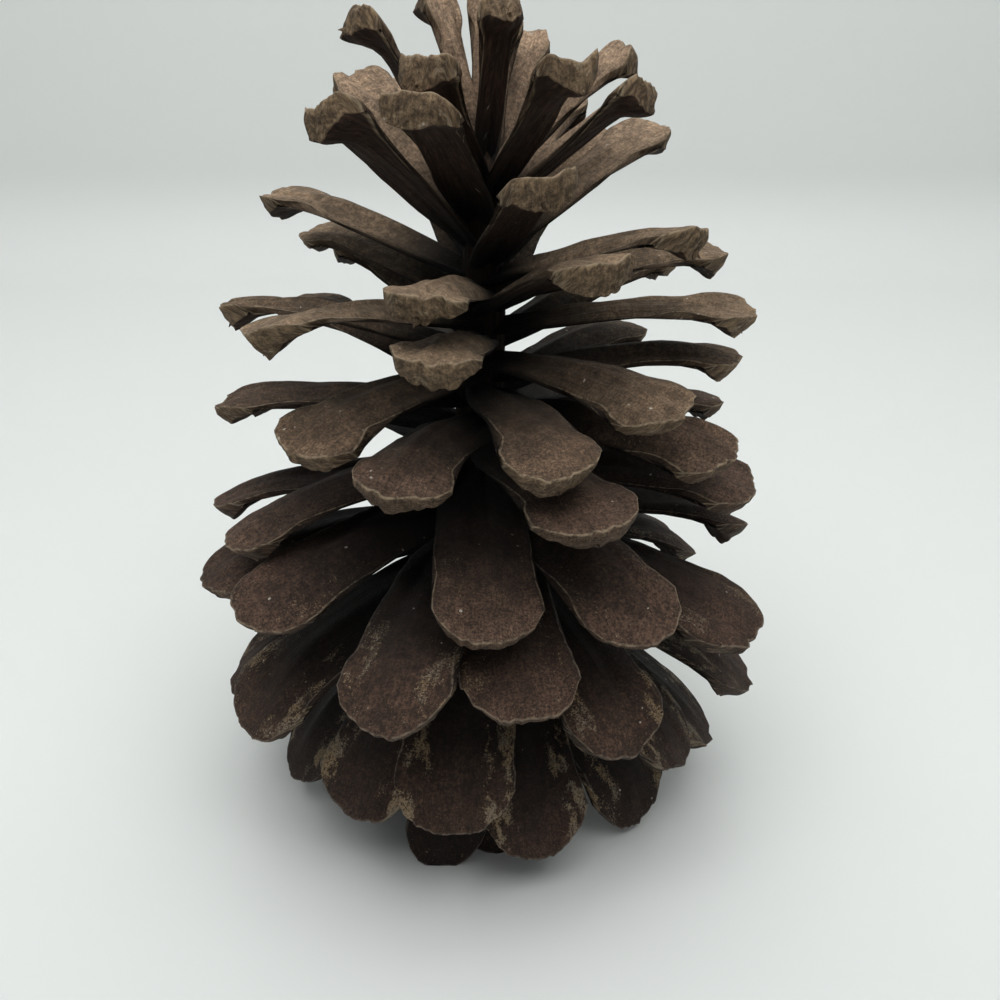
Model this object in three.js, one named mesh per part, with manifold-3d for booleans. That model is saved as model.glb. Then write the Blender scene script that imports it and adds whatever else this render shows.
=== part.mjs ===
// An open, weathered pine cone that stands on its stem end, in millimetres with +Z up.
// Woody scales grow from one central axis in a golden-angle spiral. The lowest hang down,
// those at mid height stand level and the topmost point up. It all grew as one piece.
import * as THREE from "three";
import { mergeVertices } from "three/addons/utils/BufferGeometryUtils.js";
import Module from "manifold-3d";

const { clamp, degToRad, lerp, smoothstep } = THREE.MathUtils;

// The spiral
const SCALE_COUNT = 106;
const GOLDEN_ANGLE = degToRad(137.508);
const TURN = -1; // clockwise going up, seen from above
const FIRST_AZIMUTH = degToRad(31.3); // 0 faces the front, which is -Y
const LEAN_RIGHT = 0.022; // sideways shift of the axis for each mm of height
const LEAN_FRONT = 0.017;
const AXIS_X = -2.65; // where the axis starts, so that the whole stands centred
const AXIS_Y = 2.83;

// How the scales change at every tenth of the way from the stem end to the apex. In mm, degrees.
const ROOT_HEIGHT = [36, 42.5, 50.5, 61.5, 73.5, 87, 101.5, 116, 129, 140, 149];
const ELEVATION = [-96, -64, -46, -28, -15, -6, 3, 13, 26, 42, 68];
const LENGTH = [27, 50, 62, 67, 63, 58, 56, 54, 50.5, 44, 34];
const HALF_WIDTH = [6.8, 10, 11.6, 12, 11.4, 10.2, 8.8, 7.8, 7.1, 6, 4.8];
const AXIS_RADIUS = [8, 8, 7.5, 7, 6.5, 6, 5.5, 5, 4.5, 4, 3];
const BEND = [36, 38, 38, 38, 36, 33, 30, 26, 21, 16, 12]; // by which a scale arches over to its tip
const DRIFT = [0, -3, -5.4, -6.5, -5.9, -3.1, 1.5, 5.8, 7.7, 6.6, 4]; // of the azimuth
const ARCHING = [2.6, 2.4, 2.3, 2.1, 2, 1.8, 1.6, 1.5, 1.3, 1.2, 1]; // drop of the side edges
const CUPPING = [0.2, 0.3, 0.4, 0.5, 0.6, 0.7, 0.8, 1.2, 1.8, 2.1, 2.1]; // rise of the tip corners
// The same for shares: the width of the blade behind its wider tip, of the full width, and the
// part of the length by which the corners of the tip fall back.
const SHAFT_WIDTH = [0.93, 0.94, 0.94, 0.93, 0.91, 0.87, 0.81, 0.76, 0.71, 0.68, 0.66];
const TIP_ROUNDING = [0.12, 0.12, 0.12, 0.11, 0.1, 0.09, 0.08, 0.07, 0.05, 0.03, 0.03];

// One scale
const HOOK = 2.2; // the arch gathers near the tip by this power of the length
const ARC_STEPS = 12; // straight steps in which the arch is laid out
const ROOT_WIDTH = 0.46; // shares of the full width
const SHAFT_STARTS = 0.42; // shares of the length
const FLARE_STARTS = 0.82;
const FLARE_ENDS = 0.94;
const TIP_FULLNESS = 0.6; // 0 gives a tip a shallow arc and 1 a half circle
const TIP_ASIDE = 0.2; // the furthest that the point of the tip lies off the middle
const BLADE_THICKNESS = 2.7;
const RIDGE_HEIGHT = 1.5; // of the blunt ridge on the root half of the upper face
const RIDGE_FADE = 0.7; // power of the length by which it sinks toward the tip
const EDGE_THINNING = 0.6; // share of the thickness that is lost at the side edges
const EDGE_FULLNESS = 2.2; // power by which it is lost there
const LIP_THICKNESS = 6.6; // of the swollen end
const LIP_SHARE = [0.65, 0.85]; // of that thickness, at the stem end and at the apex
const LIP_STARTS = 0.79;
const LIP_BACK = 0.965; // the lower edge of the swollen end
const ROOT_DEPTH = 3; // how far a root is sunk into the axis

// Rows of points along a scale, each with its number of points across
const UPPER_ROWS = [[0, 3], [0.42, 3], [FLARE_STARTS, 3], [FLARE_ENDS, 5], [1, 5]];
const LOWER_ROWS = [[0, 3], [0.42, 3], [LIP_STARTS, 3], [LIP_BACK, 5]];
const SMALL_UPPER_ROWS = [[0, 3], [0.5, 3], [1, 5]];
const SMALL_LOWER_ROWS = [[0, 3], [0.6, 3], [LIP_BACK, 5]];
const SMALL_LENGTH = 40;

// Irregular growth, in degrees
const SEED = 3.7;
const AZIMUTH_SPREAD = 2;
const ELEVATION_SPREAD = 4;
const TWIST_SPREAD = 14;
const BEND_SPREAD = 7;

// Scales that grew clearly off the spiral: their turn to the right, their lift and their twist in
// degrees, shares of their length and width, then the rise of the tip corners beside the rule.
const STRAYS = {
  6: [0, 0, 0, 1.02],
  7: [0, 2],
  9: [0, -3],
  11: [0, -4],
  12: [0, 3],
  13: [-26, 4, 0, 1.1],
  14: [0, -4],
  15: [0, -3],
  16: [4, 0, 0, 1.1, 0.82],
  17: [0, -3],
  18: [-14, 6, 0, 1.12, 1.1],
  19: [-4, 6],
  21: [0, 5, 0, 1, 1.05],
  23: [-26, 5, 0, 1.05],
  24: [3, 5, 0, 0.95],
  26: [9, 2],
  27: [2, 4, 0, 0.97],
  29: [-1, 2, 0, 1, 1.05],
  31: [-6, 5, 0, 1.04],
  34: [3, 4],
  36: [0, 3, 0, 0.92, 0.72],
  37: [10, 12],
  39: [-2, 9],
  40: [2, 8, 10],
  42: [-3, 1, 0, 1, 1.07],
  44: [-4, 2, -20],
  45: [-3, 3, 0, 1, 0.88],
  47: [-10, -3],
  48: [5, 4, -6],
  50: [12, 1, 6],
  52: [0, -2],
  53: [-2, -4, 10, 1, 0.93],
  55: [-6, 5],
  58: [8, 4],
  60: [0, -4],
  61: [-8, -1, 18, 0.95],
  62: [-6, -3],
  63: [6, 4],
  65: [-7, -1],
  66: [5, -6],
  68: [-3, -3],
  69: [4, 0, 20],
  71: [0, 2],
  73: [0, -10, 6, 1.06],
  74: [9, -5, 10],
  76: [-1, 4],
  77: [-20, -6],
  78: [-8, -8],
  79: [15, -4],
  81: [-2, -3, -16],
  82: [-40, -14, -14, 1, 1.15],
  84: [6, 0, -7, 1, 1, 1.2],
  85: [-30, 0],
  86: [30, -1, 0, 1, 1.15, 0.6],
  87: [-4, 8, 28, 1, 1, 1.7],
  90: [-36, 2],
  91: [27, -13],
  92: [-7, -1, 10, 1, 1.3, -0.4],
  93: [0, -10],
  94: [-4, -3, -24, 0.9, 1, 0.8],
  95: [-14, 11, 0, 1.03],
  96: [5, 2],
  97: [13, -10, -6, 1, 1.1, 1.6],
  99: [0, -12, 0, 1, 1, 0.4],
  100: [12, -14, 12, 1, 1, 1.6],
  101: [-16, 0],
  103: [-41, 4],
  104: [40, 0],
  105: [24, 2, 0, 1, 0.92],
};
const LOST = [89, 98, 102]; // scales broken off near the apex

// A repeatable draw from -1 to 1 for one scale and one of its traits.
function chance(index, trait) {
  const x = Math.sin(index * 12.9898 + trait * 78.233 + SEED) * 43758.5453;
  return 2 * (x - Math.floor(x)) - 1;
}

// The value of a listed size at a place from 0, the stem end, to 1, the apex.
function at(place, values) {
  const x = clamp(place, 0, 1) * (values.length - 1);
  const i = Math.min(Math.floor(x), values.length - 2);
  return lerp(values[i], values[i + 1], x - i);
}

function growScale(index) {
  const place = index / (SCALE_COUNT - 1);
  const stray = STRAYS[index] ?? [];
  const [strayTurn = 0, strayLift = 0, strayTwist = 0] = stray;
  const [strayLength = 1, strayWidth = 1, strayCup = 1] = stray.slice(3);
  const nudge = at(place, DRIFT) + strayTurn + chance(index, 1) * AZIMUTH_SPREAD;
  const spread = ELEVATION_SPREAD * clamp(place / 0.3, 0, 1); // the cone's weight evens the lowest
  const elevation = at(place, ELEVATION) + strayLift + chance(index, 2) * spread;
  return {
    place,
    azimuth: FIRST_AZIMUTH + TURN * index * GOLDEN_ANGLE + degToRad(nudge),
    elevation: degToRad(elevation),
    twist: degToRad(chance(index, 3) * TWIST_SPREAD + strayTwist),
    bend: degToRad(at(place, BEND) + chance(index, 6) * BEND_SPREAD),
    length: at(place, LENGTH) * (1 + 0.04 * chance(index, 4)) * strayLength,
    halfWidth: at(place, HALF_WIDTH) * (1 + 0.06 * chance(index, 5)) * strayWidth,
    tipSide: TIP_ASIDE * chance(index, 15),
    arching: at(place, ARCHING) * (1 + 0.4 * chance(index, 19)),
    cupping: at(place, CUPPING) * (1 + 0.5 * chance(index, 16)) * strayCup,
    shaftWidth: at(place, SHAFT_WIDTH),
    tipRounding: at(place, TIP_ROUNDING),
    rootRadius: at(place, AXIS_RADIUS) - ROOT_DEPTH,
    rootHeight: at(place, ROOT_HEIGHT),
  };
}

// The width at a share of the length, as a share of the full width.
function widthProfile(scale, along) {
  const grown = Math.sin((Math.PI / 2) * Math.min(along / SHAFT_STARTS, 1));
  const shaft = lerp(ROOT_WIDTH, scale.shaftWidth, grown);
  return shaft + (1 - scale.shaftWidth) * smoothstep(along, FLARE_STARTS, FLARE_ENDS);
}

// How high the upper face stands over the scale's middle line.
function upperFace(scale, along, across) {
  const edge = across * across;
  const ridge = RIDGE_HEIGHT * (1 - Math.abs(across)) ** 2 * (1 - along) ** RIDGE_FADE;
  const arch = Math.sin(Math.PI * Math.min(along / 0.9, 1)) + 0.4 * smoothstep(along, 0.5, 0.9);
  const cup = scale.cupping * smoothstep(along, 0.6, 1);
  return BLADE_THICKNESS / 2 + ridge + edge * (cup - scale.arching * arch);
}

function thickness(scale, along, across) {
  const taper = 1 - EDGE_THINNING * Math.abs(across) ** EDGE_FULLNESS;
  const lip = (LIP_THICKNESS - BLADE_THICKNESS) * smoothstep(along, LIP_STARTS, LIP_BACK);
  return taper * (BLADE_THICKNESS + lip * lerp(...LIP_SHARE, scale.place));
}

// How far a scale's middle line has run out and risen at a share of its length, and its angle there.
function middleLine(scale, share) {
  const rootAngle = scale.elevation + scale.bend / (HOOK + 1);
  const step = (scale.length * share) / ARC_STEPS;
  let reach = 0;
  let rise = 0;
  for (let k = 0; k < ARC_STEPS; k++) {
    const angle = rootAngle - scale.bend * ((share * (k + 0.5)) / ARC_STEPS) ** HOOK;
    reach += step * Math.cos(angle);
    rise += step * Math.sin(angle);
  }
  return { reach, rise, angle: rootAngle - scale.bend * share ** HOOK };
}

// How far an arc has fallen back at a distance of -1 to 1 from its middle: 0 there and 1 at its ends.
function arcDepth(aside) {
  return (1 - Math.sqrt(1 - TIP_FULLNESS * aside ** 2)) / (1 - Math.sqrt(1 - TIP_FULLNESS));
}

// A point on a scale: along runs from root to tip, across from edge to edge.
function scalePoint(scale, along, across, drop) {
  const aside = across - scale.tipSide * (1 - across * across);
  const share = along * (1 - scale.tipRounding * arcDepth(aside));
  const { reach, rise, angle } = middleLine(scale, share);
  const side = across * scale.halfWidth * widthProfile(scale, along);
  const height = upperFace(scale, along, across) - drop;
  const roll = scale.twist * share;
  const sideways = side * Math.cos(roll) - height * Math.sin(roll);
  const normal = side * Math.sin(roll) + height * Math.cos(roll);
  const radial = scale.rootRadius + reach - normal * Math.sin(angle);
  const z = scale.rootHeight + rise + normal * Math.cos(angle);
  const sin = Math.sin(scale.azimuth);
  const cos = Math.cos(scale.azimuth);
  const x = AXIS_X + radial * sin + sideways * cos + LEAN_RIGHT * z;
  const y = AXIS_Y - radial * cos + sideways * sin - LEAN_FRONT * z;
  return new THREE.Vector3(x, y, z);
}

// Fills the strip between two rows of points, whose counts may differ.
function sew(faces, first, second, turned) {
  let i = 0;
  let j = 0;
  while (i < first.length - 1 || j < second.length - 1) {
    const nextFirst = (i + 1) / (first.length - 1);
    const nextSecond = (j + 1) / (second.length - 1);
    const onFirst = j === second.length - 1 || (i < first.length - 1 && nextFirst <= nextSecond);
    const next = onFirst ? first[i + 1] : second[j + 1];
    const triangle = [first[i], second[j], next];
    if (turned) triangle.reverse();
    faces.push(...triangle);
    if (onFirst) i++;
    else j++;
  }
}

function scaleGeometry(scale) {
  const small = scale.length < SMALL_LENGTH;
  const points = [];
  const faces = [];
  const layRows = (rows, drop) =>
    rows.map(([along, count]) =>
      Array.from({ length: count }, (_, k) => {
        const across = (2 * k) / (count - 1) - 1;
        return points.push(scalePoint(scale, along, across, drop(along, across))) - 1;
      }),
    );
  const upper = layRows(small ? SMALL_UPPER_ROWS : UPPER_ROWS, () => 0);
  const lower = layRows(small ? SMALL_LOWER_ROWS : LOWER_ROWS, (along, across) =>
    thickness(scale, along, across),
  );
  for (let r = 0; r + 1 < upper.length; r++) sew(faces, upper[r], upper[r + 1], false);
  for (let r = 0; r + 1 < lower.length; r++) sew(faces, lower[r], lower[r + 1], true);
  sew(faces, upper[0], lower[0], true);
  sew(faces, upper.at(-1), lower.at(-1), false);
  const leftEdge = (rows) => rows.map((row) => row[0]);
  const rightEdge = (rows) => rows.map((row) => row.at(-1));
  sew(faces, leftEdge(upper), leftEdge(lower), false);
  sew(faces, rightEdge(upper), rightEdge(lower), true);
  const geometry = new THREE.BufferGeometry().setFromPoints(points);
  geometry.setIndex(faces);
  return geometry;
}

const wasm = await Module();
wasm.setup();

function solid(geometry) {
  const onlyPlaces = new THREE.BufferGeometry();
  onlyPlaces.setAttribute("position", geometry.getAttribute("position"));
  onlyPlaces.setIndex(geometry.index);
  const merged = mergeVertices(onlyPlaces, 1e-4);
  return new wasm.Manifold(
    new wasm.Mesh({
      numProp: 3,
      vertProperties: merged.attributes.position.array,
      triVerts: new Uint32Array(merged.index.array),
    }),
  );
}

// The woody axis that carries the scales, with the hollow scar of the stem below.
function axisSolid() {
  const foot = ROOT_HEIGHT[0] - 8;
  const outline = [
    new THREE.Vector2(0, foot + 2),
    new THREE.Vector2(4.5, foot + 1.5),
    new THREE.Vector2(7, foot),
  ];
  ROOT_HEIGHT.forEach((height, i) => outline.push(new THREE.Vector2(AXIS_RADIUS[i], height)));
  outline.push(new THREE.Vector2(0, ROOT_HEIGHT.at(-1) + 6));
  const lathe = new THREE.LatheGeometry(outline, 10).rotateX(Math.PI / 2);
  const places = lathe.getAttribute("position");
  for (let i = 0; i < places.count; i++) {
    const z = places.getZ(i);
    places.setX(i, places.getX(i) + AXIS_X + LEAN_RIGHT * z);
    places.setY(i, places.getY(i) + AXIS_Y - LEAN_FRONT * z);
  }
  return solid(lathe);
}

const pieces = [axisSolid()];
for (let index = 0; index < SCALE_COUNT; index++) {
  if (!LOST.includes(index)) pieces.push(solid(scaleGeometry(growScale(index))));
}

// The lowest tips are worn level where the cone stands on them.
const cone = wasm.Manifold.union(pieces).trimByPlane([0, 0, 1], 0);

const mesh = cone.getMesh();
const geometry = new THREE.BufferGeometry();
geometry.setAttribute("position", new THREE.BufferAttribute(mesh.vertProperties, 3));
geometry.setIndex(new THREE.BufferAttribute(mesh.triVerts, 1));
const wood = new THREE.MeshStandardMaterial({ color: 0x4a382c, roughness: 0.85, metalness: 0 });
const pineCone = new THREE.Mesh(geometry, wood);
pineCone.name = "pine_cone";

const part = new THREE.Group();
part.add(pineCone);
export default part;
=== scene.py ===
"""The looks of an open, weathered pine cone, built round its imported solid.

Lengths in the tables are in millimetres, as in the part's source, and meshes are in metres. +Z is up
and the front faces -Y. Every scale is grown again by the rule that grew the solid, on a fine grid
that carries its own coordinates, so that grain, wear and dust follow each scale.
"""
import math
from types import SimpleNamespace

import bpy
import numpy as np
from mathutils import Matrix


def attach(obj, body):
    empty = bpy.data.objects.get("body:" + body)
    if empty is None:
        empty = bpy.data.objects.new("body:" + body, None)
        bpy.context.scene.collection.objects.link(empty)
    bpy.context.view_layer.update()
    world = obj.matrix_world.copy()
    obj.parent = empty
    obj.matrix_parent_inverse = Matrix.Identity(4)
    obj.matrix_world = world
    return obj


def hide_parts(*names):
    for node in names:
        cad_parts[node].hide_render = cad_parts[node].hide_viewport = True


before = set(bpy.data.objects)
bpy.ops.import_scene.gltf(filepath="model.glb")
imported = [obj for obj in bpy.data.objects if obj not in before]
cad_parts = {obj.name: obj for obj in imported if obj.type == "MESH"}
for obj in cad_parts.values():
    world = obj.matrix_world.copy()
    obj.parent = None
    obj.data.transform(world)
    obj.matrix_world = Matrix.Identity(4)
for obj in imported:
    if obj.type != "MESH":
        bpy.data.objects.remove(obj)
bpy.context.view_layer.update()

MM = 0.001

# The spiral, as in the solid
SCALE_COUNT = 106
GOLDEN_ANGLE = math.radians(137.508)
TURN = -1
FIRST_AZIMUTH = math.radians(31.3)
LEAN_RIGHT = 0.022
LEAN_FRONT = 0.017
AXIS_X = -2.65
AXIS_Y = 2.83

# How the scales change at every tenth of the way from the stem end to the apex, as in the solid
ROOT_HEIGHT = [36, 42.5, 50.5, 61.5, 73.5, 87, 101.5, 116, 129, 140, 149]
ELEVATION = [-96, -64, -46, -28, -15, -6, 3, 13, 26, 42, 68]
LENGTH = [27, 50, 62, 67, 63, 58, 56, 54, 50.5, 44, 34]
HALF_WIDTH = [6.8, 10, 11.6, 12, 11.4, 10.2, 8.8, 7.8, 7.1, 6, 4.8]
AXIS_RADIUS = [8, 8, 7.5, 7, 6.5, 6, 5.5, 5, 4.5, 4, 3]
BEND = [36, 38, 38, 38, 36, 33, 30, 26, 21, 16, 12]
DRIFT = [0, -3, -5.4, -6.5, -5.9, -3.1, 1.5, 5.8, 7.7, 6.6, 4]
ARCHING = [2.6, 2.4, 2.3, 2.1, 2, 1.8, 1.6, 1.5, 1.3, 1.2, 1]
CUPPING = [0.2, 0.3, 0.4, 0.5, 0.6, 0.7, 0.8, 1.2, 1.8, 2.1, 2.1]
SHAFT_WIDTH = [0.93, 0.94, 0.94, 0.93, 0.91, 0.87, 0.81, 0.76, 0.71, 0.68, 0.66]
TIP_ROUNDING = [0.12, 0.12, 0.12, 0.11, 0.1, 0.09, 0.08, 0.07, 0.05, 0.03, 0.03]

# One scale, as in the solid
HOOK = 2.2
ROOT_WIDTH = 0.46
SHAFT_STARTS = 0.42
FLARE_STARTS = 0.82
FLARE_ENDS = 0.94
TIP_FULLNESS = 0.6
TIP_ASIDE = 0.2
BLADE_THICKNESS = 2.7
LIP_THICKNESS = 6.6
LIP_STARTS = 0.79
LIP_BACK = 0.965
LIP_SHARE = (0.65, 0.85)  # of the lip's thickness, at the stem end and at the apex
EDGE_THINNING = 0.6
EDGE_FULLNESS = 2.2
RIDGE_HEIGHT = 1.5
RIDGE_FADE = 0.7
ARCH_ENDS = 0.9
ARCH_LEFT = 0.4  # share of the arching that is left at the tip
CUP_STARTS = 0.6
ROOT_DEPTH = 3

# Irregular growth, as in the solid: the first four spreads are in degrees, the others are shares
SEED = 3.7
AZIMUTH_SPREAD = 2
ELEVATION_SPREAD = 4
TWIST_SPREAD = 14
BEND_SPREAD = 7
LENGTH_SPREAD = 0.04
HALF_WIDTH_SPREAD = 0.06
ARCHING_SPREAD = 0.4
CUPPING_SPREAD = 0.5
EVEN_BELOW = 0.3  # the cone's weight evens the elevation of the scales below this place
# Turn to the right, lift and twist in degrees, shares of length and width, rise of the tip corners
STRAYS = {
    6: (0, 0, 0, 1.02), 7: (0, 2), 9: (0, -3), 11: (0, -4), 12: (0, 3), 13: (-26, 4, 0, 1.1),
    14: (0, -4), 15: (0, -3), 16: (4, 0, 0, 1.1, 0.82), 17: (0, -3), 18: (-14, 6, 0, 1.12, 1.1),
    19: (-4, 6), 21: (0, 5, 0, 1, 1.05), 23: (-26, 5, 0, 1.05), 24: (3, 5, 0, 0.95), 26: (9, 2),
    27: (2, 4, 0, 0.97), 29: (-1, 2, 0, 1, 1.05), 31: (-6, 5, 0, 1.04), 34: (3, 4),
    36: (0, 3, 0, 0.92, 0.72), 37: (10, 12), 39: (-2, 9), 40: (2, 8, 10), 42: (-3, 1, 0, 1, 1.07),
    44: (-4, 2, -20), 45: (-3, 3, 0, 1, 0.88), 47: (-10, -3), 48: (5, 4, -6), 50: (12, 1, 6),
    52: (0, -2), 53: (-2, -4, 10, 1, 0.93), 55: (-6, 5), 58: (8, 4), 60: (0, -4),
    61: (-8, -1, 18, 0.95), 62: (-6, -3), 63: (6, 4), 65: (-7, -1), 66: (5, -6), 68: (-3, -3),
    69: (4, 0, 20), 71: (0, 2), 73: (0, -10, 6, 1.06), 74: (9, -5, 10), 76: (-1, 4), 77: (-20, -6),
    78: (-8, -8), 79: (15, -4), 81: (-2, -3, -16), 82: (-40, -14, -14, 1, 1.15),
    84: (6, 0, -7, 1, 1, 1.2), 85: (-30, 0), 86: (30, -1, 0, 1, 1.15, 0.6), 87: (-4, 8, 28, 1, 1, 1.7),
    90: (-36, 2), 91: (27, -13), 92: (-7, -1, 10, 1, 1.3, -0.4), 93: (0, -10),
    94: (-4, -3, -24, 0.9, 1, 0.8), 95: (-14, 11, 0, 1.03), 96: (5, 2), 97: (13, -10, -6, 1, 1.1, 1.6),
    99: (0, -12, 0, 1, 1, 0.4), 100: (12, -14, 12, 1, 1, 1.6), 101: (-16, 0), 103: (-41, 4),
    104: (40, 0), 105: (24, 2, 0, 1, 0.92),
}
NO_STRAY = (0, 0, 0, 1, 1, 1)
LOST = {89, 98, 102}  # broken off near the apex

# The traits that are drawn for each scale, with the number of each draw
TRAITS = {
    "azimuth": 1, "elevation": 2, "twist": 3, "length": 4, "half_width": 5, "bend": 6, "flare": 7,
    "flare_side": 8, "lip_back": 9, "lip_depth": 10, "tone": 11, "prickle_length": 12,
    "prickle_aside": 13, "ridge_aside": 14, "tip_side": 15, "cupping": 16, "cup_side": 17,
    "ear_side": 18, "arching": 19, "curl_side": 20, "curl": 21,
}

# The finer form of a scale, which the solid leaves out: sizes in mm, shares of its length or width
CURL = [0, 0, 0.2, 0.5, 1, 1.5, 1.6, 1.3, 0.8, 0.4, 0]  # how far one side edge turns down
CURL_SHARE = 0.45  # added to the draw, so that more than half of the scales curl
CURL_ACROSS = (0.3, 1.1)
CURL_ALONG = (0.25, 0.7)
FLARE_SPREAD = 0.03
EAR_WIDTH = 0.03
EAR_ALONG = (0.9, 0.985)
RIDGE_ASIDE = 0.15
CUP_UNEVENNESS = 0.4
CORNER_DROOP = 0.32
DROOP_STARTS = 0.74
CORNER_CUT = (0.018, 0.05)  # at the stem end and at the apex
CORNER_STARTS = 0.76
EDGE_ROUND = (0.86, 1.02)  # shares of the half width between which the side edges round off
EDGE_CLOSING = 0.45  # share of the thickness that each face loses at a side edge
SEED_BED_DEPTH = 0.4
SEED_BED_ACROSS = (0.42, 0.3)  # middle and width
RIM_SWELLING = 0.35
LIP_BACK_SPREAD = 0.006
LIP_DEPTH_SPREAD = 0.12
LIP_EDGE_THINNING = 0.55
LIP_BELLY = 0.55
LIP_BELLY_ENDS = 0.85
LIP_RAGGED = (0.9, 0.4)  # share of the notches, at the stem end and at the apex
HOLLOW_DEPTH = 0.55
HOLLOW_ACROSS = (0.6, 0.25)  # middle and width, on each side
PRICKLE_LENGTH = 0.9
PRICKLE_SPREAD = 0.4
PRICKLE_DOWN = 0.72  # share of the lip's depth
PRICKLE_RADII = [1.0, 0.62, 0.36, 0.2, 0.06]
PRICKLE_SIDES = 7
PRICKLE_FOOT = 0.4  # how deep it stands in the lip

# Noise along a line: its size, cells in a unit of the line, step of the draw from scale to scale
SIDE_WAVES = [(0.04, 6, 3.1), (0.018, 27, 1)]
# Noise across a scale, the same at every length: size, cells in half a width, step and row of the draw
RIM_WAVES = [(0.01, 2.7, 5.3, 0), (0.007, 9, 2.9, 4), (0.004, 19, 1.9, 8)]
RIM_BUMPS = [(0.6, 4, 1, 7.7)]
LIP_DEPTH_WAVES = [(0.1, 1.6, 1, 3)]
LIP_NOTCHES = [(0.6, 6, 1.3, 9), (0.5, 17, 1.3, 11)]
# Noise over a face: height, cells in half a width, length of a cell, step and start of the draw
UPPER_RELIEF = [(0.45, 2.2, 9, 1.7, 0), (0.12, 5, 3.5, 4.1, 40), (0.42, 4.2, 26, 9.1, 12)]
# On the lip, the length of a cell is a share of the lip's depth
LIP_CREASES = [(0.4, 2.5, 1 / 2.4, 2.3, 60), (0.18, 8, 1 / 4, 1, 90)]
UNDER_RELIEF = [(0.12, 7, 14, 3.7, 20)]

# The grid of a scale
MIDLINE_STEPS = (np.arange(16) + 0.5) / 16
UPPER_ROWS = np.concatenate([np.linspace(0, 0.78, 20), np.linspace(0.81, 0.985, 11), [0.994, 1.0]])
LIP_ROWS = np.array([0.03, 0.08, 0.15, 0.23, 0.32, 0.41, 0.5, 0.59, 0.68, 0.77, 0.86, 0.94, 1.0])
UNDER_ROWS = np.concatenate([[0.992, 0.978, 0.958, 0.932, 0.9, 0.865, 0.82], np.linspace(0.77, 0, 12)])
COLUMNS = np.concatenate([[-1, -0.975], np.linspace(-0.94, 0.94, 27), [0.975, 1]])
# A side edge joins each row above the rim to one below it.
assert len(UPPER_ROWS) == 1 + len(LIP_ROWS) + len(UNDER_ROWS)

# The axis
SCAR_OUTLINE = [(0.05, 2), (2.2, 2.1), (4.2, 1.4), (5.6, 0.5)]  # radius and height over the foot
FOOT_RADIUS = 7
FOOT_DROP = 8
APEX_RISE = 6
APEX_RADIUS = 0.2
AXIS_ROWS = 130
AXIS_COLUMNS = 56
AXIS_FURROWS = [(0.35, 3, 3), (0.2, 9, 6)]  # depth, cells round the axis, height of a cell
FURROWS_FADE_BELOW = 4  # the radius under which the furrows fade
AXIS_INSET = 0.25

# The view of the photo
CAMERA_PLACE = (3.92, -228.17, 187)
CAMERA_DOWN = math.radians(26.2)
LENS = 39.6
SENSOR_WIDTH = 36


# Camera
def make_camera():
    """The camera of the photo: in front of the cone, above it and looking down at it."""
    data = bpy.data.cameras.new("camera")
    data.sensor_width = SENSOR_WIDTH
    data.lens = LENS
    camera = bpy.data.objects.new("camera", data)
    camera.location = [v * MM for v in CAMERA_PLACE]
    camera.rotation_euler = (math.pi / 2 - CAMERA_DOWN, 0, 0)
    bpy.context.collection.objects.link(camera)
    bpy.context.scene.camera = camera


# Repeatable noise
def chance(index, trait):
    """A repeatable draw from -1 to 1 for one scale and one of its traits."""
    x = math.sin(index * 12.9898 + TRAITS[trait] * 78.233 + SEED) * 43758.5453
    return 2 * (x - math.floor(x)) - 1


def uneven(index, trait, spread):
    """A factor near 1 for one scale."""
    return 1 + spread * chance(index, trait)


def lattice(x, y, z):
    """A repeatable value from -1 to 1 at each whole-numbered point."""
    n = x * np.uint32(374761393) + y * np.uint32(668265263) + z * np.uint32(2246822519)
    n = (n ^ (n >> np.uint32(13))) * np.uint32(1274126177)
    return (n ^ (n >> np.uint32(16))).astype(np.float64) / 2147483647.5 - 1


def noise(x, y, z):
    """Smooth noise from -1 to 1 whose cells have side 1."""
    x, y, z = np.broadcast_arrays(x, y, z)
    cell = [np.floor(v).astype(np.int64) for v in (x, y, z)]
    part = [v - c for v, c in zip((x, y, z), cell)]
    part = [p * p * (3 - 2 * p) for p in part]
    cell = [(c & 0xFFFFFFFF).astype(np.uint32) for c in cell]
    total = np.zeros(x.shape)
    for corner in range(8):
        steps = [(corner >> k) & 1 for k in range(3)]
        weight = np.ones(x.shape)
        for step, p in zip(steps, part):
            weight = weight * (p if step else 1 - p)
        total += weight * lattice(*(c + np.uint32(s) for c, s in zip(cell, steps)))
    return total


# The form of one scale
def at(place, values):
    """The value of a listed size at a place from 0, the stem end, to 1, the apex."""
    return float(np.interp(place * (len(values) - 1), range(len(values)), values))


def smoothstep(x, low, high):
    """0 below low and 1 above high, smoothly between them."""
    t = np.clip((x - low) / (high - low), 0, 1)
    return t * t * (3 - 2 * t)


def lerp(a, b, t):
    """From a to b as t goes from 0 to 1."""
    return a + (b - a) * t


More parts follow.
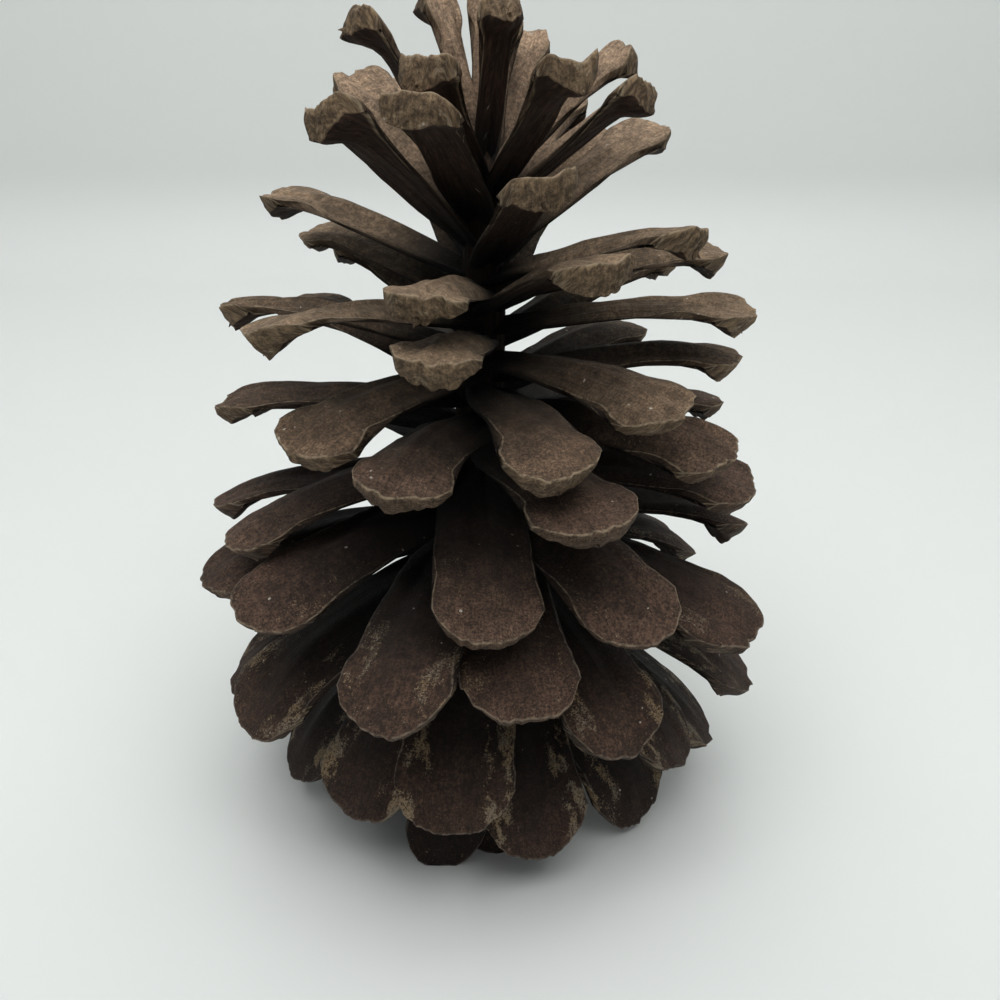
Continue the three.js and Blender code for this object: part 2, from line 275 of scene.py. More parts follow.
def grow_scale(index):
    """The place, direction and sizes of one scale, in millimetres and radians."""
    place = index / (SCALE_COUNT - 1)
    stray = STRAYS.get(index, ())
    stray = stray + NO_STRAY[len(stray):]
    stray_turn, stray_lift, stray_twist, stray_length, stray_width, stray_cup = stray
    nudge = at(place, DRIFT) + stray_turn + chance(index, "azimuth") * AZIMUTH_SPREAD
    spread = ELEVATION_SPREAD * min(place / EVEN_BELOW, 1)
    elevation = at(place, ELEVATION) + stray_lift + chance(index, "elevation") * spread
    twist = chance(index, "twist") * TWIST_SPREAD + stray_twist
    return {
        "index": index,
        "place": place,
        "azimuth": FIRST_AZIMUTH + TURN * index * GOLDEN_ANGLE + math.radians(nudge),
        "elevation": math.radians(elevation),
        "twist": math.radians(twist),
        "bend": math.radians(at(place, BEND) + chance(index, "bend") * BEND_SPREAD),
        "length": at(place, LENGTH) * uneven(index, "length", LENGTH_SPREAD) * stray_length,
        "half_width": at(place, HALF_WIDTH) * uneven(index, "half_width", HALF_WIDTH_SPREAD) * stray_width,
        "tip_side": TIP_ASIDE * chance(index, "tip_side"),
        "arching": at(place, ARCHING) * uneven(index, "arching", ARCHING_SPREAD),
        "cupping": at(place, CUPPING) * uneven(index, "cupping", CUPPING_SPREAD) * stray_cup,
        "curl": at(place, CURL) * max(0, CURL_SHARE + chance(index, "curl")),
        "curl_side": 1 if chance(index, "curl_side") > 0 else -1,
        "shaft_width": at(place, SHAFT_WIDTH),
        "tip_rounding": at(place, TIP_ROUNDING),
        "root_radius": at(place, AXIS_RADIUS) - ROOT_DEPTH,
        "root_height": at(place, ROOT_HEIGHT),
    }


def width_profile(scale, along, across):
    """The width at a share of the length, as a share of the full width, with uneven side edges."""
    grown = np.sin(math.pi / 2 * np.minimum(along / SHAFT_STARTS, 1))
    shaft_width = scale["shaft_width"]
    shaft = ROOT_WIDTH + (shaft_width - ROOT_WIDTH) * grown
    side = np.sign(across)
    index = scale["index"]
    flare = 1 - shaft_width + FLARE_SPREAD * (chance(index, "flare") + side * chance(index, "flare_side"))
    ear = EAR_WIDTH * (1 + side * chance(index, "ear_side")) * smoothstep(along, *EAR_ALONG)
    wave = sum(size * noise(along * cells, side, index * step) for size, cells, step in SIDE_WAVES)
    width = shaft + flare * smoothstep(along, FLARE_STARTS, FLARE_ENDS) + ear
    return width * (1 + wave * np.abs(across))


def upper_face(scale, along, across):
    """How high the upper face stands over the scale's middle line."""
    index = scale["index"]
    edge = across * across
    from_ridge = np.abs(across + RIDGE_ASIDE * chance(index, "ridge_aside"))
    ridge = RIDGE_HEIGHT * (1 - from_ridge) ** 2 * (1 - along) ** RIDGE_FADE
    arch = np.sin(math.pi * np.minimum(along / ARCH_ENDS, 1))
    arch = arch + ARCH_LEFT * smoothstep(along, 0.5, ARCH_ENDS)
    arch = -scale["arching"] * edge * arch
    curl = smoothstep(scale["curl_side"] * across, *CURL_ACROSS) * smoothstep(along, *CURL_ALONG)
    arch = arch - scale["curl"] * curl
    cup = edge - CORNER_DROOP * smoothstep(np.abs(across), DROOP_STARTS, 1)
    cup = scale["cupping"] * cup * (1 + CUP_UNEVENNESS * chance(index, "cup_side") * across)
    return BLADE_THICKNESS / 2 + ridge + arch + cup * smoothstep(along, CUP_STARTS, 1)


def thickness(scale, along, across):
    """The thickness of the blade and its lip, before the side edges are rounded off."""
    taper = 1 - EDGE_THINNING * np.abs(across) ** EDGE_FULLNESS
    lip = (LIP_THICKNESS - BLADE_THICKNESS) * smoothstep(along, LIP_STARTS, LIP_BACK)
    return taper * (BLADE_THICKNESS + lip * lerp(*LIP_SHARE, scale["place"]))


def seed_beds(along, across):
    """Two shallow beds on the upper face, where the winged seeds lay, with a faint step at their end."""
    middle, width = SEED_BED_ACROSS
    bed = np.exp(-(((np.abs(across) - middle) / width) ** 4))
    return bed * smoothstep(along, 0.02, 0.15) * (1 - smoothstep(along, 0.6, 0.72))


def scale_points(scale, along, across, lift, push):
    """Points on a scale. lift is off its middle line and push goes past the share of its length."""
    aside = across - scale["tip_side"] * (1 - across * across)
    depth = (1 - np.sqrt(1 - TIP_FULLNESS * aside * aside)) / (1 - math.sqrt(1 - TIP_FULLNESS))
    corner = lerp(*CORNER_CUT, scale["place"]) * smoothstep(np.abs(across), CORNER_STARTS, 1)
    share = along * (1 - scale["tip_rounding"] * depth - corner)
    root_angle = scale["elevation"] + scale["bend"] / (HOOK + 1)
    passed = root_angle - scale["bend"] * (share[..., None] * MIDLINE_STEPS) ** HOOK
    angle = root_angle - scale["bend"] * share ** HOOK
    reach = scale["length"] * share * np.cos(passed).mean(-1) + push * np.cos(angle)
    rise = scale["length"] * share * np.sin(passed).mean(-1) + push * np.sin(angle)
    side = across * scale["half_width"] * width_profile(scale, along, across)
    roll = scale["twist"] * share
    sideways = side * np.cos(roll) - lift * np.sin(roll)
    normal = side * np.sin(roll) + lift * np.cos(roll)
    radial = scale["root_radius"] + reach - normal * np.sin(angle)
    z = scale["root_height"] + rise + normal * np.cos(angle)
    sin, cos = math.sin(scale["azimuth"]), math.cos(scale["azimuth"])
    x = AXIS_X + radial * sin + sideways * cos + LEAN_RIGHT * z
    y = AXIS_Y - radial * cos + sideways * sin - LEAN_FRONT * z
    return np.stack([x, y, z], -1), side


def noise_across(scale, across, layers):
    """Layers of noise that change only across the scale."""
    index = scale["index"]
    return sum(size * noise(across * cells, index * step, row) for size, cells, step, row in layers)


def noise_over(scale, across, path, layers):
    """Layers of noise over a face of the scale."""
    index = scale["index"]
    return sum(
        height * noise(across * cells, path / cell_length, index * step + start)
        for height, cells, cell_length, step, start in layers
    )


def rounding(across):
    """How far the side edges have rounded off, from 0 to 1: the faces meet halfway, on a thin edge."""
    start, end = EDGE_ROUND
    past = np.maximum((np.abs(across) - start) / (end - start), 0)
    return 1 - np.sqrt(np.clip(1 - past ** 2, 0, 1))


def upper_rows(scale, w, rim_wave):
    """The upper face from the root to the rim: shares of the length, and heights."""
    a = UPPER_ROWS[:, None]
    along = a * (1 + rim_wave * smoothstep(a, 0.7, 1))
    lift = upper_face(scale, a, w) - EDGE_CLOSING * rounding(w) * thickness(scale, a, w)
    lift = lift - SEED_BED_DEPTH * seed_beds(a, w) * (1 - 0.5 * scale["place"])
    lift = lift + noise_over(scale, w, a * scale["length"], UPPER_RELIEF)
    swelling = 0.4 + noise_across(scale, w, RIM_BUMPS)
    return along, lift + RIM_SWELLING * smoothstep(a, 0.93, 1) * swelling


def lip_rows(scale, w, rim_wave, back, rim_lift):
    """The end face from the rim down: shares of the length, heights, and how far it bulges out."""
    t = LIP_ROWS[:, None]
    uneven_depth = uneven(scale["index"], "lip_depth", LIP_DEPTH_SPREAD)
    deep = thickness(scale, LIP_BACK, w) * (uneven_depth + noise_across(scale, w, LIP_DEPTH_WAVES))
    notches = noise_across(scale, w, LIP_NOTCHES) * lerp(*LIP_RAGGED, scale["place"])
    rounded = rounding(w)
    deep = deep * (1 - LIP_EDGE_THINNING * rounded) + notches * (1 - rounded) * smoothstep(t, 0.5, 1)
    belly = LIP_BELLY * np.sin(math.pi * np.minimum(t / LIP_BELLY_ENDS, 1)) * (1 - np.abs(w) ** 3)
    crease = noise_over(scale, w, t, LIP_CREASES) * np.sin(math.pi * t)
    return lerp(1 + rim_wave, back + rim_wave, t), rim_lift - t * deep, belly + crease


def under_rows(scale, w, rim_wave, back, lip_end):
    """The underside from the back of the lip to the root: shares of the length, and heights."""
    b = UNDER_ROWS[:, None] * back
    middle, width = HOLLOW_ACROSS
    beside = np.exp(-(((np.abs(w) - middle) / width) ** 2))
    hollow = HOLLOW_DEPTH * smoothstep(b, 0.1, 0.5) * (1 - smoothstep(b, 0.84, 0.92)) * beside
    blade = thickness(scale, b, w)
    lift = upper_face(scale, b, w) - blade * (1 - EDGE_CLOSING * rounding(w)) + hollow
    step = lip_end - (upper_face(scale, back, w) - thickness(scale, back, w))
    lift = lift + step * smoothstep(b, 0.86, back)
    lift = lift + noise_over(scale, w, b * scale["length"], UNDER_RELIEF)
    return b * (1 + rim_wave * smoothstep(b, 0.7, 1)), lift


def scale_rows(scale):
    """The fine grid of one scale: rows run from the root over the upper face to the rim, down the
    end face of the lip and back under the blade. Returns the points and what is known at each."""
    w = COLUMNS[None, :]
    rim_wave = noise_across(scale, w, RIM_WAVES)
    back = LIP_BACK + LIP_BACK_SPREAD * chance(scale["index"], "lip_back")
    up_along, up_lift = upper_rows(scale, w, rim_wave)
    lip_along, lip_lift, lip_push = lip_rows(scale, w, rim_wave, back, up_lift[-1:, :])
    un_along, un_lift = under_rows(scale, w, rim_wave, back, lip_lift[-1:, :])

    along = np.concatenate([up_along, lip_along, un_along])
    lift = np.concatenate([up_lift, lip_lift, un_lift])
    push = np.concatenate([0 * up_lift, lip_push, 0 * un_lift])
    across = np.broadcast_to(w, along.shape)
    points, side = scale_points(scale, along, across, lift, push)
    lip = np.concatenate([0 * up_lift, 0 * lip_lift + 1, 0 * un_lift])
    under = np.concatenate([0 * up_lift, 0 * lip_lift, 0 * un_lift + 1])
    return points, side, lip, under, along, across


def ring_faces():
    """Quads of the open grid of a scale, its two side edges and its root end."""
    rows = len(UPPER_ROWS) + len(LIP_ROWS) + len(UNDER_ROWS)
    columns = len(COLUMNS)
    faces = []
    for r in range(rows - 1):
        for c in range(columns - 1):
            i = r * columns + c
            faces.append((i, i + columns, i + columns + 1, i + 1))
    rim = len(UPPER_ROWS) - 1
    for c, turned in ((0, True), (columns - 1, False)):
        for k in range(rim):
            quad = [(rim - k - 1) * columns + c, (rim - k) * columns + c,
                    (rim + k) * columns + c, (rim + k + 1) * columns + c]
            quad = list(dict.fromkeys(quad))
            faces.append(tuple(quad[::-1] if turned else quad))
    for c in range(columns - 1):
        j = (rows - 1) * columns + c
        faces.append((c, c + 1, j + 1, j))
    return faces


FACES = ring_faces()


def flat(values):
    """The values of a grid in one row."""
    return np.asarray(values, float).reshape(-1)


def scale_mesh(index):
    """Points in metres, faces and the coordinates that the material reads."""
    scale = grow_scale(index)
    points, side, lip, under, along, across = scale_rows(scale)
    steps = np.linalg.norm(np.diff(points, axis=0), axis=2)
    path = np.concatenate([np.zeros((1, points.shape[1])), np.cumsum(steps, axis=0)])
    rim = path - path[len(UPPER_ROWS) - 1]
    edge = scale["half_width"] * (1 - np.abs(across))
    points = points.reshape(-1, 3).copy()
    points[:, 2] = np.maximum(points[:, 2], 0)
    place = np.full(len(points), scale["place"])
    draw = np.full(len(points), 0.5 + 0.5 * chance(index, "tone"))
    return {
        "points": points * MM,
        "faces": FACES,
        "scale_mm": np.stack([flat(side), flat(path), flat(rim)], 1),
        "scale_at": np.stack([flat(across), flat(along), place], 1),
        "scale_id": np.stack([draw, flat(lip), flat(under)], 1),
        "edge_mm": flat(edge),
    }


def make_piece(name, parts, material):
    """One object from several closed meshes, with their coordinates as attributes."""
    points, faces, start = [], [], 0
    for part in parts:
        points.append(part["points"])
        faces.extend(tuple(i + start for i in face) for face in part["faces"])
        start += len(part["points"])
    mesh = bpy.data.meshes.new(name)
    mesh.from_pydata(np.concatenate(points).tolist(), [], faces)
    for key in ("scale_mm", "scale_at", "scale_id", "edge_mm"):
        values = np.concatenate([part[key] for part in parts]).astype(np.float32)
        kind, field = ("FLOAT", "value") if values.ndim == 1 else ("FLOAT_VECTOR", "vector")
        mesh.attributes.new(key, kind, "POINT").data.foreach_set(field, values.ravel())
    mesh.polygons.foreach_set("use_smooth", [True] * len(mesh.polygons))
    mesh.materials.append(material)
    mesh.update()
    piece = bpy.data.objects.new(name, mesh)
    bpy.context.collection.objects.link(piece)
    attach(piece, "root")
    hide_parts("pine_cone")


# Small forms
NO_EDGE_NEAR = 5.0


def tube_faces(rows, sides):
    """Quads round a tube and its two end faces. Rows run along it, with so many points each."""
    faces = []
    for r in range(rows - 1):
        for c in range(sides):
            i, j = r * sides + c, r * sides + (c + 1) % sides
            faces.append((i, i + sides, j + sides, j))
    faces.append(tuple(range(sides)))
    faces.append(tuple(reversed(range((rows - 1) * sides, rows * sides))))
    return faces


def tube(centres, radii, sides):
    """A closed tapering tube through the centres, in millimetres."""
    centres = np.asarray(centres, float)
    ahead = np.gradient(centres, axis=0)
    ahead /= np.linalg.norm(ahead, axis=1, keepdims=True)
    helper = np.array([0.0, 0.0, 1.0]) if abs(ahead[0][2]) < 0.9 else np.array([1.0, 0.0, 0.0])
    first = np.cross(ahead, helper)
    first /= np.linalg.norm(first, axis=1, keepdims=True)
    second = np.cross(ahead, first)
    turn = (np.arange(sides) * 2 * math.pi / sides)[None, :, None]
    radii = np.asarray(radii, float)[:, None, None]
    ring = first[:, None, :] * np.cos(turn) + second[:, None, :] * np.sin(turn)
    points = (centres[:, None, :] + ring * radii).reshape(-1, 3)
    return points, tube_faces(len(centres), sides)


def plain_part(points, faces, place, draw, lip, under):
    """A small form that takes its coordinates from where it is."""
    count = len(points)
    return {
        "points": points * MM,
        "faces": faces,
        "scale_mm": points,
        "scale_at": np.tile([0.0, 0.5, place], (count, 1)),
        "scale_id": np.tile([draw, lip, under], (count, 1)),
        "edge_mm": np.full(count, NO_EDGE_NEAR),
    }


def prickle(index):
    """The short bent prickle at the middle of the lip."""
    scale = grow_scale(index)
    deep = thickness(scale, LIP_BACK, 0.0)
    low = upper_face(scale, 1.0, 0.0) - deep * PRICKLE_DOWN
    long = PRICKLE_LENGTH + PRICKLE_SPREAD * chance(index, "prickle_length")
    steps = np.linspace(0, 1, len(PRICKLE_RADII))
    along = np.full(len(steps), lerp(1.0, LIP_BACK, PRICKLE_DOWN))
    across = np.full(len(steps), 0.05 * chance(index, "prickle_aside"))
    lift = low - long * (0.25 * steps + 0.5 * steps ** 2)
    push = long * steps - PRICKLE_FOOT
    centres, _ = scale_points(scale, along, across, lift, push)
    points, faces = tube(centres, PRICKLE_RADII, PRICKLE_SIDES)
    points[:, 2] = np.maximum(points[:, 2], 0)
    return plain_part(points, faces, scale["place"], draw=0.4, lip=0.9, under=0.1)


def axis_part():
    """The woody axis, with the hollow scar of the stem below and shallow furrows between the roots."""
    foot = ROOT_HEIGHT[0] - FOOT_DROP
    heights = [foot] + ROOT_HEIGHT + [ROOT_HEIGHT[-1] + APEX_RISE]
    radii = [FOOT_RADIUS] + AXIS_RADIUS + [APEX_RADIUS]
    outline = [(radius, foot + rise) for radius, rise in SCAR_OUTLINE]
    outline += [(np.interp(z, heights, radii), z) for z in np.linspace(foot, heights[-1], AXIS_ROWS)]
    turn = np.arange(AXIS_COLUMNS) * 2 * math.pi / AXIS_COLUMNS
    cos, sin = np.cos(turn), np.sin(turn)
    radius = np.array([r for r, _ in outline])[:, None]
    z = np.array([h for _, h in outline])[:, None] + 0 * turn
    furrows = sum(
        depth * noise(cos * cells, sin * cells, z / height) for depth, cells, height in AXIS_FURROWS
    )
    furrows = furrows * np.minimum(radius / FURROWS_FADE_BELOW, 1)
    radius = np.maximum(radius + furrows - AXIS_INSET, 0.05)
    x = AXIS_X + LEAN_RIGHT * z + radius * cos
    y = AXIS_Y - LEAN_FRONT * z + radius * sin
    points = np.stack([x, y, z], -1).reshape(-1, 3)
    # The rings turn the other way round than a tube's, so its faces are turned over.
    *quads, low_end, high_end = tube_faces(len(outline), AXIS_COLUMNS)
    faces = [(a, d, c, b) for a, b, c, d in quads] + [low_end[::-1], high_end[::-1]]
    return plain_part(points, faces, place=0.5, draw=0.5, lip=0.0, under=1.0)


# Material
class Tree:
    """Short ways to add nodes to the tree of a material or the world."""

    def __init__(self, owner):
        self.tree = owner.node_tree

    def set(self, socket, value):
        """Links the socket to another node's output, or gives it a plain value."""
        if hasattr(value, "is_output"):
            self.tree.links.new(value, socket)
        else:
            socket.default_value = value

    def attribute(self, name):
        node = self.tree.nodes.new("ShaderNodeAttribute")
        node.attribute_name = name
        return node

    def split(self, vector):
        node = self.tree.nodes.new("ShaderNodeSeparateXYZ")
        self.set(node.inputs[0], vector)
        return node.outputs

    def join(self, x, y, z):
        node = self.tree.nodes.new("ShaderNodeCombineXYZ")
        for socket, value in zip(node.inputs, (x, y, z)):
            self.set(socket, value)
        return node.outputs[0]

    def math(self, kind, a, b=0.0):
        node = self.tree.nodes.new("ShaderNodeMath")
        node.operation = kind
        for socket, value in zip(node.inputs, (a, b)):
            self.set(socket, value)
        return node.outputs[0]

    def product(self, value, *factors):
        for factor in factors:
            value = self.math("MULTIPLY", value, factor)
        return value

    def remap(self, value, low, high, to_low=0.0, to_high=1.0):
        """The value from low to high as to_low to to_high, smoothly and held at both ends."""
        node = self.tree.nodes.new("ShaderNodeMapRange")
        node.interpolation_type = "SMOOTHSTEP"
        for socket, v in zip(node.inputs, (value, low, high, to_low, to_high)):
            self.set(socket, v)
        return node.outputs[0]

    def noise(self, vector, scale, detail=2.0, rough=0.5):
        node = self.tree.nodes.new("ShaderNodeTexNoise")
        self.set(node.inputs["Vector"], vector)
        node.inputs["Scale"].default_value = scale
        node.inputs["Detail"].default_value = detail
        node.inputs["Roughness"].default_value = rough
        return node.outputs["Fac"]

    def mix(self, share, a, b):
        node = self.tree.nodes.new("ShaderNodeMix")
        node.data_type = "RGBA"
        colours = [s for s in node.inputs if s.type == "RGBA"]
        self.set(node.inputs[0], share)
        self.set(colours[0], a)
        self.set(colours[1], b)
        return [s for s in node.outputs if s.type == "RGBA"][0]

    def scaled(self, tone, factor):
        """The colour made brighter or darker by a factor."""
        node = self.tree.nodes.new("ShaderNodeVectorMath")
        node.operation = "SCALE"
        self.set(node.inputs[0], tone)
        self.set(node.inputs["Scale"], factor)
        return node.outputs[0]

    def ramp(self, value, stops):
        """Colours at places from 0 to 1, blended between them."""
        node = self.tree.nodes.new("ShaderNodeValToRGB")
        elements = node.color_ramp.elements
        while len(elements) < len(stops):
            elements.new(0.5)
        for element, (place, tone) in zip(elements, stops):
            element.position = place
            element.color = tone
        self.set(node.inputs[0], value)
        return node.outputs["Color"]


def colour(red, green, blue):
    """A colour given as it shows on a screen, 0 to 255."""
    return tuple((v / 255) ** 2.2 for v in (red, green, blue)) + (1.0,)


# The dark lower end of these tones is partly painted shade, from the scales above on the lower ones, and
# partly darker, damper wood.
FACE_TONES = [  # of the upper faces, from the stem end to the apex
    (0.15, colour(28, 21, 18)), (0.2, colour(41, 31, 26)), (0.3, colour(44, 34, 28)),
    (0.42, colour(55, 43, 36)), (0.55, colour(66, 53, 44)), (0.63, colour(80, 66, 53)),
    (0.68, colour(103, 87, 70)), (0.78, colour(119, 101, 82)), (0.9, colour(138, 117, 97)),
]
DARK_LIP, PALE_LIP, FROST = colour(76, 62, 48), colour(128, 108, 84), colour(150, 140, 122)
DARK_UNDER, PALE_UNDER = colour(39, 28, 22), colour(64, 48, 38)
WORN_LOW, WORN_HIGH = colour(112, 101, 92), colour(166, 148, 122)
OCHRE_DUST, GREY_DUST = colour(170, 146, 112), colour(152, 139, 118)
RESIN = colour(190, 184, 172)

NOISE_SHIFT = 71.0  # mm between the noises of the two ends of the draw
FIBRE_STRETCH = 0.07  # the noise of the fibres, drawn out along the scale
PATCH_STRETCH = 0.5
RELIEF_HEIGHT = 0.45 * MM


def wood_points(t):
    """What the material knows at each point, and the noises that run over a scale. Lengths are in
    mm. Each scale has its own stretch of every noise."""
    side, path, rim = t.split(t.attribute("scale_mm").outputs["Vector"])
    across, along, place = t.split(t.attribute("scale_at").outputs["Vector"])
    draw, lip, under = t.split(t.attribute("scale_id").outputs["Vector"])
    shift = t.product(draw, NOISE_SHIFT)
    own_side = t.math("ADD", side, shift)
    fibre_at = t.join(own_side, t.product(path, FIBRE_STRETCH), shift)
    even_at = t.join(own_side, path, shift)
    patch_at = t.join(own_side, t.product(path, PATCH_STRETCH), shift)
    return SimpleNamespace(
        along=along,
        place=place,
        lip=lip,
        under=under,
        upper=t.math("SUBTRACT", 1.0, t.math("MAXIMUM", lip, under)),
        rim_off=t.math("ABSOLUTE", rim),
        wide=t.math("ABSOLUTE", across),
        edge=t.attribute("edge_mm").outputs["Fac"],
        fibre=t.noise(fibre_at, 1.7, 5.0, 0.7),
        fine_fibre=t.noise(fibre_at, 4.5, 2.0, 0.6),
        grain=t.noise(even_at, 1.9, 4.0, 0.75),
        blotch=t.noise(even_at, 0.7, 4.0, 0.65),
        cloud=t.noise(even_at, 0.16, 3.0, 0.55),
        crust=t.noise(even_at, 0.35, 4.0, 0.65),
        specks=t.noise(even_at, 2.3, 4.0, 0.75),
        drops=t.noise(even_at, 0.7, 1.0, 0.5),
        patches=t.noise(patch_at, 0.24, 6.0, 0.7),
    )


def face_tone(t, here):
    """The upper face: nearly black on the lowest scales, partly as painted shade from the scales above and
    partly as darker wood, tan near the apex, paler toward the tip.
    """
    tone = t.ramp(here.place, FACE_TONES)
    tone = t.scaled(tone, t.remap(here.cloud, 0.35, 0.65, 0.75, 1.2))
    tone = t.scaled(tone, t.remap(here.blotch, 0.35, 0.65, 0.76, 1.24))
    tone = t.scaled(tone, t.remap(here.fibre, 0.36, 0.64, 0.88, 1.12))
    at_tip = t.remap(here.place, 0.4, 0.8, 2.2, 1.3)
    return t.scaled(tone, t.remap(here.along, 0.66, 0.97, 0.9, at_tip))


def lip_tone(t, here):
    """The end face of the lip: olive tan, blotched, with faint fibres running down it. On the lower
    scales it is darker, partly painted shade from the scales above and partly darker wood, and
    its painted shade deepens quickly below the rim."""
    tone = t.mix(t.remap(here.blotch, 0.32, 0.68), DARK_LIP, PALE_LIP)
    tone = t.scaled(tone, t.remap(here.fibre, 0.34, 0.66, 0.72, 1.22))
    tone = t.scaled(tone, t.remap(here.rim_off, 0.0, 1.8, 1.35, 0.95))
    tone = t.mix(t.product(t.remap(here.crust, 0.57, 0.68), 0.45), tone, FROST)
    # Darker on the lower scales: partly painted shade from the scales above, partly darker wood.
    tone = t.scaled(tone, t.remap(here.place, 0.25, 0.72, 0.5, 1.0))
    # Painted shade: below the rim the end face of the lower scales darkens like an underside in shadow.
    deep = t.remap(here.place, 0.42, 0.62, 0.25, 1.0)
    return t.scaled(tone, t.remap(here.rim_off, 0.4, 2.6, 1.0, deep))


def under_tone(t, here):
    """The underside and the axis: dark brown, with long fibres."""
    tone = t.mix(t.remap(here.fibre, 0.36, 0.66), DARK_UNDER, PALE_UNDER)
    return t.scaled(tone, t.remap(here.blotch, 0.35, 0.65, 0.7, 1.3))


def with_grain_and_edge_shade(t, here, tone):
    """Fine grain, stronger on the lower scales, and painted shade on the side edges, darker as they turn
    under.
    """
    strength = t.remap(here.place, 0.5, 0.75, 0.6, 0.34)
    low, high = t.math("SUBTRACT", 1.0, strength), t.math("ADD", 1.0, strength)
    tone = t.scaled(tone, t.remap(here.grain, 0.37, 0.63, low, high))
    tone = t.scaled(tone, t.remap(here.fine_fibre, 0.35, 0.65, 0.88, 1.12))
    # Painted shade: the side edges darken as they turn under.
    return t.scaled(tone, t.remap(here.wide, 0.88, 0.99, 1.0, 0.55))


def with_wear(t, here, tone):
    """A pale, worn line on the rim and thinner ones along the side edges, broken in places."""
    broken = t.remap(here.blotch, 0.36, 0.6, 0.2, 1.0)
    rim_line = t.remap(here.rim_off, 0.1, 0.55, 0.85, 0.0)
    side_line = t.product(t.remap(here.edge, 0.15, 0.45, 0.6, 0.0), t.remap(here.along, 0.4, 0.8))
    side_line = t.product(side_line, t.remap(here.edge, 0.02, 0.1))
    worn = t.product(t.math("MAXIMUM", rim_line, side_line), broken)
    return t.mix(worn, tone, t.mix(t.remap(here.place, 0.2, 0.6), WORN_LOW, WORN_HIGH))


def with_dust(t, here, tone):
    """Ochre dust: scattered specks, thickening to patches near the side edges of the lower scales."""
    dust = t.product(
        t.remap(here.patches, 0.41, 0.59),
        t.remap(here.wide, 0.25, 0.62, t.remap(here.place, 0.3, 0.6, 0.0, 0.35), 1.0),
        t.remap(here.place, 0.2, 0.5, 1.0, 0.4),
        t.remap(here.place, 0.15, 0.18, 0.2, 1.0),
        t.remap(here.along, 0.4, 0.7),
    )
    dust = t.math("MAXIMUM", dust, t.remap(here.along, 0.8, 1.0, 0.0, 0.3))
    dust = t.product(dust, t.remap(here.under, 0.0, 1.0, 1.0, 0.3))
    sparse = t.math("SUBTRACT", 0.68, t.product(dust, 0.25))
    specks = t.remap(here.specks, sparse, t.math("ADD", sparse, 0.09))
    specks = t.product(specks, t.remap(here.along, 0.3, 0.6), 0.7)
    film = t.product(t.remap(dust, 0.45, 1.0), t.remap(here.grain, 0.4, 0.62, 0.0, 0.6))
    dust_tone = t.mix(t.remap(here.cloud, 0.4, 0.6), OCHRE_DUST, GREY_DUST)
    return t.mix(t.math("MAXIMUM", specks, film), tone, dust_tone)


def cone_wood():
    """The dry, weathered wood of every scale and the axis."""
    material = bpy.data.materials.new("cone_wood")
    material.use_nodes = True
    nodes = material.node_tree.nodes
    shader = next(n for n in nodes if n.type == "BSDF_PRINCIPLED")
    t = Tree(material)
    here = wood_points(t)

    lip_share = t.product(here.lip, t.remap(here.place, 0.5, 0.78, 0.35, 1.0))
    tone = t.mix(lip_share, face_tone(t, here), lip_tone(t, here))
    tone = t.mix(here.under, tone, under_tone(t, here))
    tone = with_grain_and_edge_shade(t, here, tone)
    tone = with_wear(t, here, tone)
    tone = with_dust(t, here, tone)
    resin = t.product(t.remap(here.drops, 0.785, 0.8), 0.8)
    tone = t.mix(resin, tone, RESIN)

    # Painted shade: nearly black toward the axis, where the scales shade each other, reaching further out
    # on the lower scales.
    shaded_until = t.remap(here.place, 0.35, 0.85, 0.86, 0.5)
    shade_to_axis = t.remap(t.math("DIVIDE", here.along, shaded_until), 0.16, 1.06, 0.04, 1.0)
    t.set(shader.inputs["Base Color"], t.scaled(tone, shade_to_axis))
    t.set(shader.inputs["Roughness"], t.remap(here.grain, 0.3, 0.7, 0.7, 0.92))
    shader.inputs["Specular IOR Level"].default_value = 0.3

    relief = t.math("ADD", t.product(here.grain, 0.8), t.product(here.blotch, 0.9))
    relief = t.math("ADD", relief, t.product(here.fibre, t.remap(here.upper, 0.0, 1.0, 1.3, 1.0)))
    bump = nodes.new("ShaderNodeBump")
    bump.inputs["Strength"].default_value = 1.0
    bump.inputs["Distance"].default_value = RELIEF_HEIGHT
    t.set(bump.inputs["Height"], relief)
    t.set(shader.inputs["Normal"], bump.outputs[0])
    return material


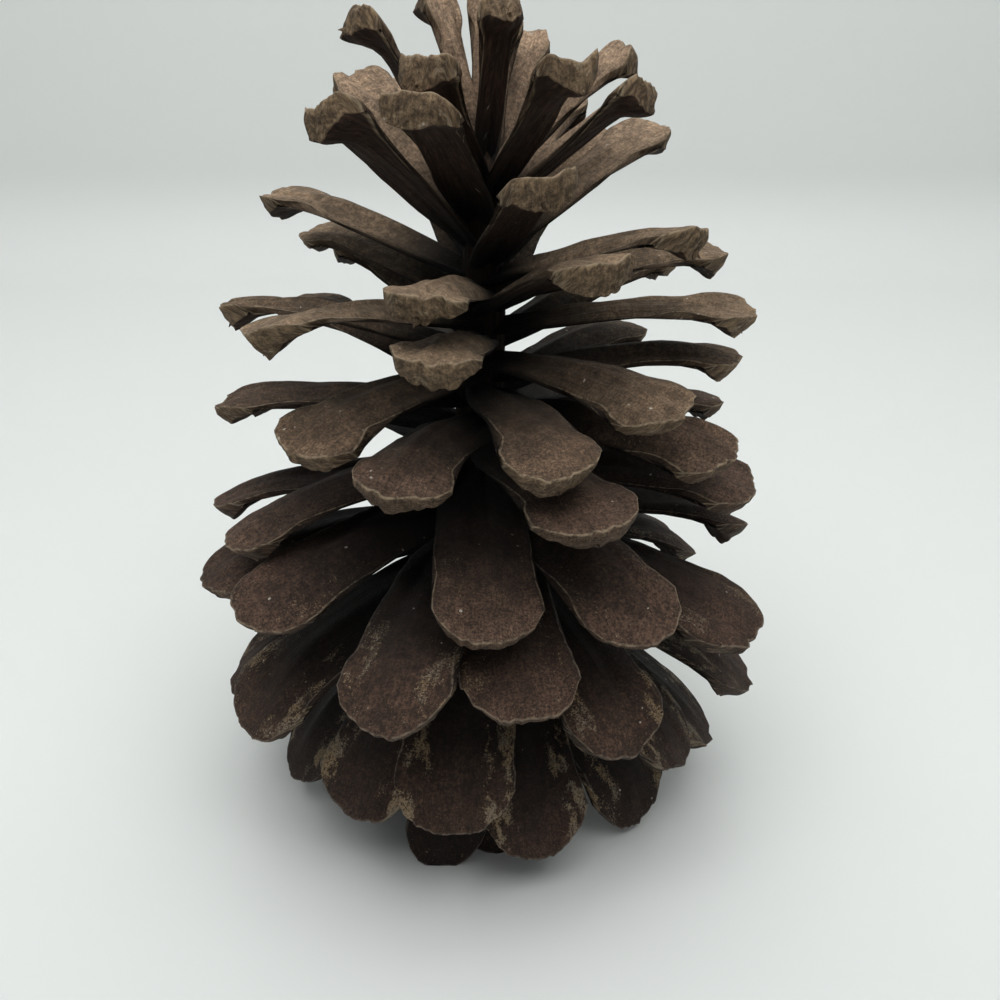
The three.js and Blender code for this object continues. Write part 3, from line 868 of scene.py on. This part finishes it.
# Stage
def make_stage():
    """A pale floor that sweeps up into a backdrop far behind."""
    bend_from, bend_radius, top = 0.47, 0.06, 1.2
    half_width, front, bend_steps = 2.5, -2.5, 16
    outline = [(front, 0.0), (-0.6, 0.0), (0.1, 0.0), (bend_from, 0.0)]
    for step in range(1, bend_steps + 1):
        turn = math.pi / 2 * step / bend_steps
        outline.append((bend_from + bend_radius * math.sin(turn), bend_radius * (1 - math.cos(turn))))
    outline.append((bend_from + bend_radius, top))
    points = [(x, y, z) for y, z in outline for x in (-half_width, half_width)]
    faces = [(2 * i, 2 * i + 1, 2 * i + 3, 2 * i + 2) for i in range(len(outline) - 1)]
    mesh = bpy.data.meshes.new("floor")
    mesh.from_pydata(points, [], faces)
    mesh.polygons.foreach_set("use_smooth", [True] * len(mesh.polygons))
    material = bpy.data.materials.new("floor")
    material.use_nodes = True
    shader = next(n for n in material.node_tree.nodes if n.type == "BSDF_PRINCIPLED")
    shader.inputs["Base Color"].default_value = (0.76, 0.785, 0.765, 1)
    shader.inputs["Roughness"].default_value = 0.6
    mesh.materials.append(material)
    floor = bpy.data.objects.new("floor", mesh)
    bpy.context.collection.objects.link(floor)


def area_light(name, place, target, size, power):
    """A soft white light at a place, turned to its target. size is its width and depth in metres."""
    data = bpy.data.lights.new(name, "AREA")
    data.shape = "RECTANGLE"
    data.size, data.size_y = size
    data.energy = power
    light = bpy.data.objects.new(name, data)
    light.location = place
    toward = [b - a for a, b in zip(place, target)]
    tilt = math.atan2(math.hypot(toward[0], toward[1]), -toward[2])
    light.rotation_euler = (tilt, 0, math.atan2(toward[1], toward[0]) - math.pi / 2)
    bpy.context.collection.objects.link(light)


def make_lights():
    """One broad soft light overhead, a weaker one in front, and one for the floor at the back."""
    world = bpy.data.worlds.new("world")
    world.use_nodes = True
    background = next(n for n in world.node_tree.nodes if n.type == "BACKGROUND")
    background.inputs["Color"].default_value = (0.93, 0.97, 1.0, 1)
    # The world lights the cone weakly, and shows pale beyond the floor.
    t = Tree(world)
    seen = world.node_tree.nodes.new("ShaderNodeLightPath").outputs["Is Camera Ray"]
    t.set(background.inputs["Strength"], t.remap(seen, 0.0, 1.0, 0.14, 0.62))
    bpy.context.scene.world = world
    area_light("window", (0.0, -0.27, 1.0), (0, 0, 0.05), (1.05, 0.85), 10.0)
    area_light("room", (0.1, -1.1, 0.6), (0, 0, 0.08), (1.2, 0.8), 0.9)
    area_light("back", (0.0, 0.4, 0.8), (0, 0.41, 0), (1.4, 0.2), 1.25)


bpy.context.scene.view_settings.view_transform = "Standard"
make_camera()
make_stage()
make_lights()
wood = cone_wood()
PIECES = {
    "scales_basal": range(0, 20),
    "scales_low": range(20, 42),
    "scales_middle": range(42, 64),
    "scales_high": range(64, 86),
    "scales_crown": range(86, 106),
}
make_piece("axis", [axis_part()], wood)
for name, indices in PIECES.items():
    indices = [i for i in indices if i not in LOST]
    make_piece(name, [scale_mesh(i) for i in indices] + [prickle(i) for i in indices], wood)
